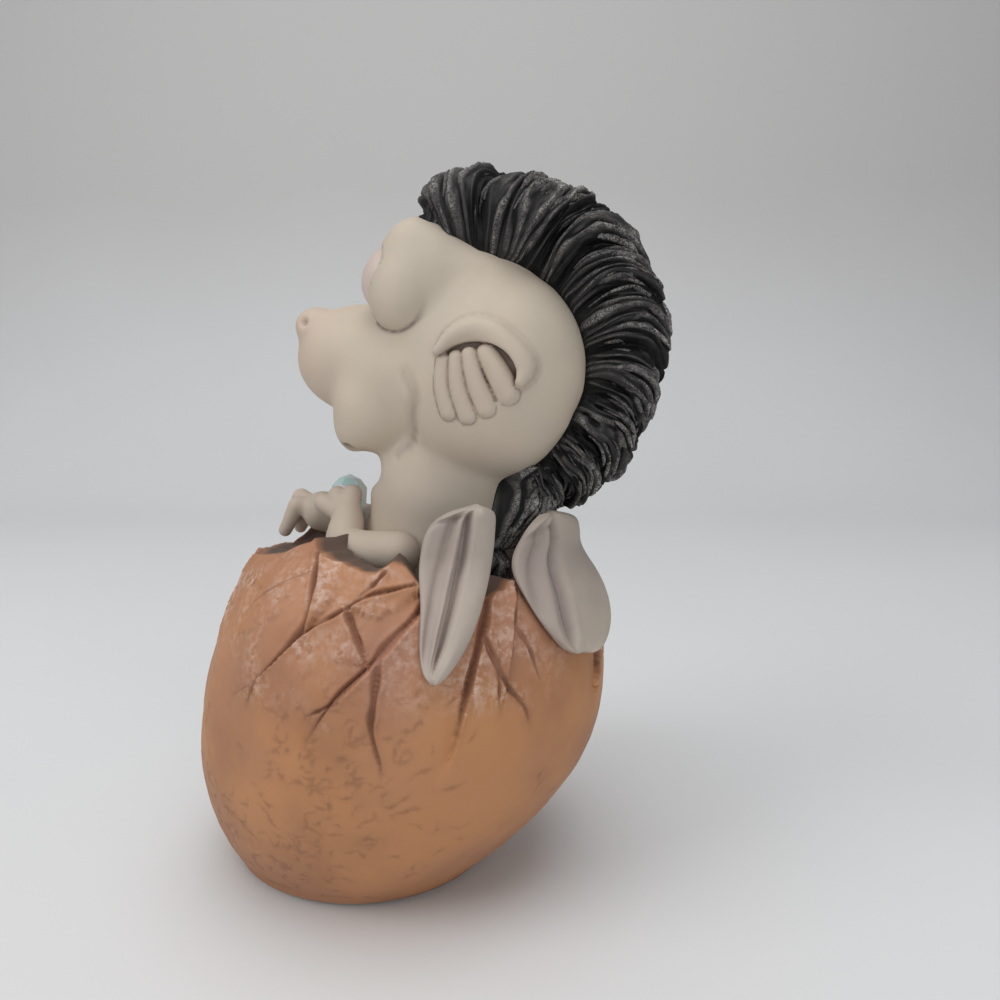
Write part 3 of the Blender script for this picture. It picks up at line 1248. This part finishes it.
def joinGround(name, node, strands, outer, inner, faces, ridge, tone):
    # the carved ground, its underside and the swept strands become one piece
    made = sweepStrands(name, strands)
    places, high = carveStrands(made)
    points = np.vstack([outer.reshape(-1, 3), inner.reshape(-1, 3)])
    still = np.zeros(inner.size // 3)
    ridge = np.r_[ridge.ravel(), still, np.clip(0.5 + 0.5 * high, 0, 1)]
    tone = np.r_[tone.ravel(), still, readAttribute(made, "tone", 1)]
    faces = faces + [[i + len(points) for i in f.vertices] for f in made.polygons]
    bpy.data.meshes.remove(made)
    points = np.vstack([points, places])
    keep(makePiece(name, points, faces, maneMaterial, {"ridge": ridge, "tone": tone}), "mane", node)


joinGround("maneCrest", "mane_crest", strandPaths(), *makeManeGround())


# The nape: a narrow strip of the mane that runs down into the shell

nape = {
    "top": 58.6, "low": 43.2, "direction": 66.0, "sweep": 20.0, "strands": 36, "seed": 8, "steps": 18,
    "rows": 130, "columns": 41, "under": 9, "bed": 0.3, "wallGap": 0.3, "half": (13, 8),
    "thick": [(0, 4), (0.2, 6.5), (0.36, 7.0), (0.46, 5.8), (0.56, 4.2), (0.64, 2.8), (0.74, 1.6),
              (0.87, 1.0), (1, 0.5)],
}


neckForward = 7.5  # the neck's axis lies in front of the skull's middle


def napePoint(u, v, up):
    z = nape["top"] + (nape["low"] - nape["top"]) * u
    wide, narrow = nape["half"]
    angle = nape["direction"] + nape["sweep"] * (1 - u) ** 2 + (wide - (wide - narrow) * u) * v
    start = np.stack([0 * z, 0 * z + skull[1] - neckForward, z], -1)
    way = turned(angle)
    skin = reachAlong(plainSkin, start, way, 40)
    wall = reachAlong(lambda p: eggGap(p, -egg["wall"] - nape["wallGap"]), start, way, 60)
    limit = np.where(z > egg["rimHeight"] + 1, 99, wall)
    return start + way * np.minimum(skin + up, limit)[..., None], way


def makeNape():
    rng = np.random.default_rng(nape["seed"])
    strands = []
    for _ in range(nape["strands"]):
        s = np.linspace(0, 1, nape["steps"])
        u = np.clip(rng.uniform(-0.05, 0.75) + s * rng.uniform(0.2, 0.4), 0, 1)
        v = rng.uniform(-0.8, 0.8) + 0.35 * rng.uniform(-1, 1) * s
        full = np.sqrt(np.clip(1 - v * v, 0, 1))
        up = 0.6 + 0.85 * tableAt(nape["thick"], u) * full + rng.uniform(-0.3, 0.3)
        points, way = napePoint(u, v, up)
        width = rng.uniform(0.35, 0.6) * (0.7 + 0.3 * ramp(s, 0, 0.3)) * (1 - 0.5 * ramp(s, 0.8, 1))
        strands.append((points, width, way, np.clip(rng.uniform(0.2, 1.0) * (0.4 + 0.6 * s), 0, 1)))
    rows, columns, under = nape["rows"], nape["columns"], nape["under"]
    u, v = np.meshgrid(np.linspace(0, 1, rows), np.linspace(-1, 1, columns), indexing="ij")
    phase = 3.0 * v + 1.1 * valueNoise(np.stack([4 * u, 1.5 * v, 0 * u], -1), 1, 71)
    ridge = peak(phase) ** 0.75 * (0.65 + 0.35 * valueNoise(np.stack([9 * u, 3 * v, 0 * u], -1), 1, 72))
    full = np.sqrt(np.clip(1 - v ** 2, 0, 1))
    outer, _ = napePoint(u, v, 0.25 + (0.75 * tableAt(nape["thick"], u) + 1.3 * ridge) * full)
    u, v = np.meshgrid(np.linspace(0, 1, rows), np.linspace(-1, 1, under), indexing="ij")
    inner, _ = napePoint(u, v, -nape["bed"])
    tone = np.clip(0.45 + 0.6 * valueNoise(outer, 1.5, 73), 0, 1)
    joinGround("napeMane", "nape_mane", strands, outer, inner, patchFaces(rows, columns, under), ridge, tone)


makeNape()


# Wings: thick leaves with folds, standing over the rim on a stub

wing = {
    "topRadius": 20.5, "thickness": 1.7, "stubHeight": 49.0, "stubRadius": 1.65, "stubSeat": 0.3,
    "stubRows": 12, "stubSides": 32, "stubFlare": 0.45, "rows": 120, "columns": 120, "sharp": 70,
    # for each side, from top to tip: height and the directions of the two edges
    "outline": {
        -1: [(55, 43.5, 44), (54, 33, 49), (52, 27, 49.5), (48, 24.5, 48), (44, 24.5, 42), (40, 24, 36),
             (37.5, 24.5, 31.5), (36, 26.5, 28)],
        1: [(53, 76, 79), (51.5, 67, 91.5), (49, 60, 97.5), (46, 56, 98), (42, 58, 95), (39, 61.5, 88),
            (37, 65, 79), (36, 68.5, 72)]},
    # place of the main fold across the wing, from top to tip, and of the second one
    "fold": {-1: [-0.25, -0.1, 0.03, 0.06, 0.0, -0.1, -0.3, -0.55],
             1: [-0.35, -0.28, -0.14, -0.22, -0.36, -0.52, -0.75, -0.95]},
    "second": {-1: -0.55, 1: -0.52}, "lift": {-1: 0.2, 1: 1.6}, "dark": {-1: 0.5, 1: 0.8},
}
wingLines = {side: curvePath(rows, 80) for side, rows in wing["outline"].items()}


def curveAt(values, x):
    return np.interp(x, np.linspace(0, 1, len(values)), values)


def wingPoint(side, u, v, up):
    z, low, high = (curveAt(line, u) for line in wingLines[side].T)
    way = turned((low + high) / 2 + v * (high - low) / 2)
    start = np.stack([0 * z, 0 * z + egg["axisY"], z], -1)
    outside = reachAlong(lambda p: np.minimum(eggGap(p), plainSkin(p)) - egg["glue"], start, way, 60)
    lift = wing["lift"][side] * ramp(v, -0.3, 0.9) * ramp(u, -0.1, 0.2)
    r = softMax(np.full_like(outside, wing["topRadius"]), outside, 1.6) + lift + up
    return start + way * r[..., None], way


def wingRelief(side, u, v):
    # a broad smooth band, a fold beside it, a spar, a second hollow and a crease:
    # how thick, how dark and how mauve
    t = v - curveAt(wing["fold"][side], u) + 0.05 * np.sin(9 * u + 2)
    fade = ramp(u, 0.06, 0.22) * (1 - ramp(u, 0.7, 0.92))
    web = fade * (1 - ramp(t, -0.02, 0.2))
    second = wing["second"][side] + 0.1 * np.sin(7 * u)
    relief = 1.2 - 0.5 * web + 0.15 * bump(t, 0.5, 0.4)
    relief += fade * (0.42 * bump(t, second / 2, 0.11) - 0.6 * bump(t, 0, 0.07) - 0.3 * bump(t, second, 0.13))
    crease = bump(u, 0.13 + 0.1 * np.maximum(-v, 0), 0.03) * ramp(-v, 0.1, 0.5)
    relief += 0.25 * bump(v, -0.95, 0.2) - 0.2 * crease
    dark = wing["dark"][side] * fade * bump(t, 0, 0.05) + 0.25 * fade * bump(t, second, 0.1) + 0.2 * crease
    return np.maximum(0.3, relief), dark, web


def makeWing(side, node):
    rows, columns = wing["rows"], wing["columns"]
    u = np.linspace(0.0, 1.0, rows)[:, None]
    loop = np.linspace(0, 2 * math.pi, 2 * columns, endpoint=False)[None, :]
    v = np.cos(loop) * np.ones_like(u)
    face = np.sin(loop) * np.ones_like(u)
    u = u * np.ones_like(v)
    relief, groove, fold = wingRelief(side, u, v)
    body = np.abs(face) ** 0.5
    ends = np.sqrt(np.clip(1 - (2 * u - 1) ** 10, 0.02, 1))
    thick = np.where(face >= 0, wing["thickness"] * relief - 0.4, -0.3)
    up = 0.35 + thick * body * ends
    up += 0.1 * valueNoise(np.stack([8 * u, 3 * v, 0 * u + side], -1), 1, 81) * body * (face > 0)
    points, _ = wingPoint(side, u, v, up)
    faces = gridFaces(rows, 2 * columns)
    points = np.vstack([points.reshape(-1, 3), points[0].mean(0), points[-1].mean(0)])
    hollow = np.r_[(np.clip(groove, 0, 1) * (face > 0)).ravel(), 0, 0]
    mauve = np.r_[((0.1 + 0.32 * fold) * (face > 0)).ravel(), 0.2, 0.2]
    # stub and peg towards the body's axis
    at = np.interp(-wing["stubHeight"], -wingLines[side][:, 0], np.linspace(0, 1, len(wingLines[side])))
    seat, _ = wingPoint(side, np.array(at), np.array(0.0), np.array(0.4))
    goal = np.array([0, skull[1] - neckForward, seat[2]])
    line = unit(goal - seat)
    depth = np.linalg.norm(goal - seat) - reachAlong(plainSkin, goal, -line, 40) + wing["stubSeat"]
    across, other = acrossAxes(line)
    stubRows, stubSides = wing["stubRows"], wing["stubSides"]
    a = np.linspace(0, 2 * math.pi, stubSides, endpoint=False)[:, None]
    stub = []
    for f in np.linspace(0, 1, stubRows):
        r = wing["stubRadius"] * (1 + wing["stubFlare"] * (2 * f - 1) ** 4)
        stub.append(seat + line * depth * f + r * (np.cos(a) * across + np.sin(a) * other))
    stub = np.vstack(stub + [seat, seat + line * depth])
    faces += [[i + len(points) for i in f[::-1]] for f in gridFaces(stubRows, stubSides)]
    points = np.vstack([points, stub])
    more = np.zeros(len(stub))
    piece = makePiece(node.replace("_w", "W"), points, faces, wingMaterial,
                      {"hollow": np.r_[hollow, more + 0.3], "mauve": np.r_[mauve, more + 0.6]}, wing["sharp"])
    keep(piece, "wing", node)


makeWing(-1, "left_wing")
makeWing(1, "right_wing")


# Arms: the near hand holds the crystal, the far paw lies on the front rim

crystalAt = np.array([0.0, -1.6, egg["rimHeight"] + 3.4])
crystal = {"sides": 6, "radius": 2.6, "prism": 4.0, "point": 1.9, "tilt": math.radians(-10), "cut": 0.098}
arms = {"step": 0.24, "radius": 2.7, "finger": 1.2, "bodyY": 12.5, "margin": 4}


def elbowAt(side, y):
    start, sideways = np.array([0, y, egg["rimHeight"]]), np.array([1.0, 0, 0])
    margin = egg["wall"] + arms["radius"] + 2 * egg["glue"]
    return start + side * reachAlong(lambda p: eggGap(p, -margin), start, sideways, 60) * sideways


def armPlan(key):
    # elbow, wrist and palm with their radii, and knuckle and tip of each finger
    rim = egg["rimHeight"]
    if key == "left":
        elbow = elbowAt(1, arms["bodyY"] - 3)
        grip = crystal["radius"] + 0.85 * arms["finger"] + egg["glue"]
        palm = crystalAt + np.array([(elbow[0] + grip) / 2 - 0.9, 3.2, 0.7])
        fingers = [(crystalAt + np.array([4.6, y, z + 0.6]), crystalAt + np.array([grip - 0.9, y - 0.6, z]))
                   for y, z in ((3.2, 3.0), (1.0, 2.7), (-1.2, 1.6))]
        wrist = np.array([elbow[0] - 0.5, 3.6, rim + 0.4])
        return [elbow + [0, 1.5, 0.3], wrist, palm], (2.9, 2.9, 2.1), fingers
    elbow = elbowAt(-1, arms["bodyY"] - 4.5)
    front = egg["axisY"] - reachAlong(eggGap, np.array([0, egg["axisY"], rim]), np.array([0.0, -1, 0]), 60)
    palm = np.array([-3.9, 4.2 + front, rim + 2.9])
    fingers = [(np.array([x, y + front, rim + z]), np.array([x, y + front - 2.2, rim + z - 3.8]))
               for x, y, z in ((-6.2, 0.9, 3.6), (-4.1, 0.3, 4.9), (-2.0, 0.8, 3.8))]
    return [elbow, 0.5 * (elbow + palm) - [0, 0, 0.8], palm], (2.7, 2.8, 3.1), fingers


def makeArm(key, node):
    joints, thick, fingers = armPlan(key)
    f = arms["finger"]

    def gap(p):
        limb = pathGap(p, curvePath(joints, 11), alongLinks(thick, 11))
        for knuckle, tip in fingers:
            limb = softMin(limb, pathGap(p, [joints[2], knuckle, tip], (1.3 * f, 1.15 * f, 0.8 * f)), 0.5)
        return np.maximum(limb, 0.12 - plainSkin(p)) + 0.04 * valueNoise(p, 1.8, 31)

    every = np.vstack([*joints, *[place for pair in fingers for place in pair]])
    low, high = every.min(0) - arms["margin"], every.max(0) + arms["margin"]
    points, faces = netSkin(gap, low, high, arms["step"])
    hollow = np.clip(hollowness(gap, points, 0.6) - 0.1, 0, 1)
    shade = 0.2 + 0.4 * ramp(-points[:, 2], -49, -44)
    piece = makePiece(node.replace("_a", "A"), points, faces, skinMaterial,
                      {"hollow": hollow, "blush": 0 * shade + 0.2, "shade": shade}, head["sharp"])
    keep(piece, "skin", node)


makeArm("left", "left_arm")
makeArm("right", "right_arm")


# Crystal: a six-sided point with its corners cut

def makeCrystal():
    bm = bmesh.new()
    rings, sides, prism, point = [], crystal["sides"], crystal["prism"], crystal["point"]
    for z, share in ((0, 0.94), (0.35, 1.0), (prism, 1.0), (prism + 0.62 * point, 0.62)):
        r = share * crystal["radius"]
        turns = [2 * math.pi * k / sides for k in range(sides)]
        rings.append([bm.verts.new((r * math.cos(a), r * math.sin(a), z)) for a in turns])
    tip = bm.verts.new((0, 0, prism + point))
    bm.faces.new(rings[0][::-1])
    for k in range(sides):
        after = (k + 1) % sides
        for low, high in zip(rings[:-1], rings[1:]):
            bm.faces.new((low[k], low[after], high[after], high[k]))
        bm.faces.new((rings[-1][k], rings[-1][after], tip))
    bmesh.ops.bevel(bm, geom=list(bm.edges), offset=crystal["cut"], segments=1, affect="EDGES")
    c, s = math.cos(crystal["tilt"]), math.sin(crystal["tilt"])
    x, y, z = np.array([v.co for v in bm.verts]).T
    points = np.stack([c * x + s * z, y, c * z - s * x], -1)
    bm.verts.index_update()
    faces = [[v.index for v in f.verts] for f in bm.faces]
    bm.free()
    piece = makePiece("crystal", points + crystalAt, faces, crystalMaterial)
    piece.data.polygons.foreach_set("use_smooth", np.zeros(len(faces), bool))
    keep(piece, "crystal", "crystal")


makeCrystal()


# Felt pad with a soft edge

felt = {"columns": 160, "edge": 0.25, "fuzz": 0.05}


def makeFelt():
    _, high = nodeBox("base_felt")
    radius, thick = high[0], high[2]
    angles = np.linspace(0, 360, felt["columns"], endpoint=False)
    profile = [(0.35, 0.0), (0.7, 0.0), (0.97, 0.0), (1 - felt["edge"] / radius * 0.3, 0.06), (1.0, 0.3),
               (1.0, 0.6), (1 - felt["edge"] / radius, 0.94), (0.9, 1.0), (0.5, 1.0)]
    rows = []
    for k, (r, z) in enumerate(profile):
        ring = turned(angles) * radius * r + np.array([0, 0, thick * z])
        fuzz = felt["fuzz"] * (valueNoise(ring, 0.5, 40 + k) - 1)
        rows.append(ring + turned(angles) * fuzz[:, None] * (0 < z < 1))
    points = np.vstack(rows + [np.zeros((1, 3)), np.array([[0, 0, thick]])])
    piece = makePiece("feltPad", points, gridFaces(len(rows), felt["columns"]), feltMaterial, None, 60)
    keep(piece, "felt", "base_felt")


makeFelt()

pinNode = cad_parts["neck_pin"]
pinNode.data.materials.clear()
pinNode.data.materials.append(steelMaterial)
print("pieces made")


# Stage, light and camera

stage = {"floor": (0.76, 0.775, 0.78), "backdrop": (0.60, 0.59, 0.58), "size": 2.4, "back": 0.55,
         "high": 1.6, "bend": 0.25, "turn": math.radians(17)}


def makeStage():
    # a floor that turns up into a backdrop behind the object
    half, back, turn = stage["size"], stage["back"], stage["bend"]
    bend = [(-back + turn - turn * math.sin(a), turn - turn * math.cos(a))
            for a in np.linspace(0, math.pi / 2, 16)]
    profile = [(half, 0.0)] + bend + [(-back, stage["high"])]
    c, s = math.cos(stage["turn"]), math.sin(stage["turn"])
    points = [(depth * c - side * s, depth * s + side * c, z)
              for depth, z in profile for side in (-half, half)]
    faces = [(2 * i, 2 * i + 1, 2 * i + 3, 2 * i + 2) for i in range(len(profile) - 1)]
    mesh = bpy.data.meshes.new("sweepFloor")
    mesh.from_pydata(points, [], faces)
    mesh.polygons.foreach_set("use_smooth", np.ones(len(faces), bool))
    material, tree, shader = newMaterial("paleFloor")
    height = addNode(tree, "ShaderNodeSeparateXYZ")
    feed(tree, objectPlace(tree), height.inputs["Vector"])
    cloud = mathNode(tree, "MULTIPLY", noiseNode(tree, 6.0, 3.0), 0.3)
    share = mathNode(tree, "ADD", cloud, spread(tree, height.outputs["Z"], 0.0, 0.3), True)
    colour = mixColour(tree, share, (*stage["floor"], 1), (*stage["backdrop"], 1))
    feed(tree, colour, shader.inputs["Base Color"])
    setInputs(shader, Roughness=0.9)
    mesh.materials.append(material)
    newObject("sweepFloor", mesh)


makeStage()

lamps = [
    ("softTop", (0.10, 0.05, 0.75), (0.0, 0.0, 0.04), 0.7, 3.1),
    ("softFront", (0.45, -0.45, 0.45), (0.0, 0.01, 0.05), 0.5, 1.9),
    ("softSide", (0.5, 0.38, 0.16), (0.0, 0.01, 0.05), 0.5, 1.1),
]


def makeLamp(name, place, aim, size, power):
    data = bpy.data.lights.new(name, "AREA")
    data.shape = "DISK"
    data.size = size
    data.energy = power
    lamp = newObject(name, data)
    lamp.location = place
    way = Vector(aim) - Vector(place)
    lamp.rotation_euler = way.to_track_quat("-Z", "Y").to_euler()


for lampRow in lamps:
    makeLamp(*lampRow)

world = bpy.data.worlds.new("studio")
world.use_nodes = True
setInputs(world.node_tree.nodes["Background"], Color=(0.93, 0.95, 1.0, 1), Strength=0.24)
bpy.context.scene.world = world

view = {"place": (0.1015, 0.0528, 0.0683), "pitch": 82.0, "turn": 107.0, "lens": 28.0, "sensor": 36.0,
        "nearest": 0.005}
cameraData = bpy.data.cameras.new("camera")
cameraData.lens = view["lens"]
cameraData.sensor_width = view["sensor"]
cameraData.clip_start = view["nearest"]
camera = newObject("camera", cameraData)
camera.location = view["place"]
camera.rotation_euler = (math.radians(view["pitch"]), 0, math.radians(view["turn"]))
bpy.context.scene.camera = camera
bpy.context.scene.view_settings.view_transform = "Standard"
print("stage, lamps and camera made")
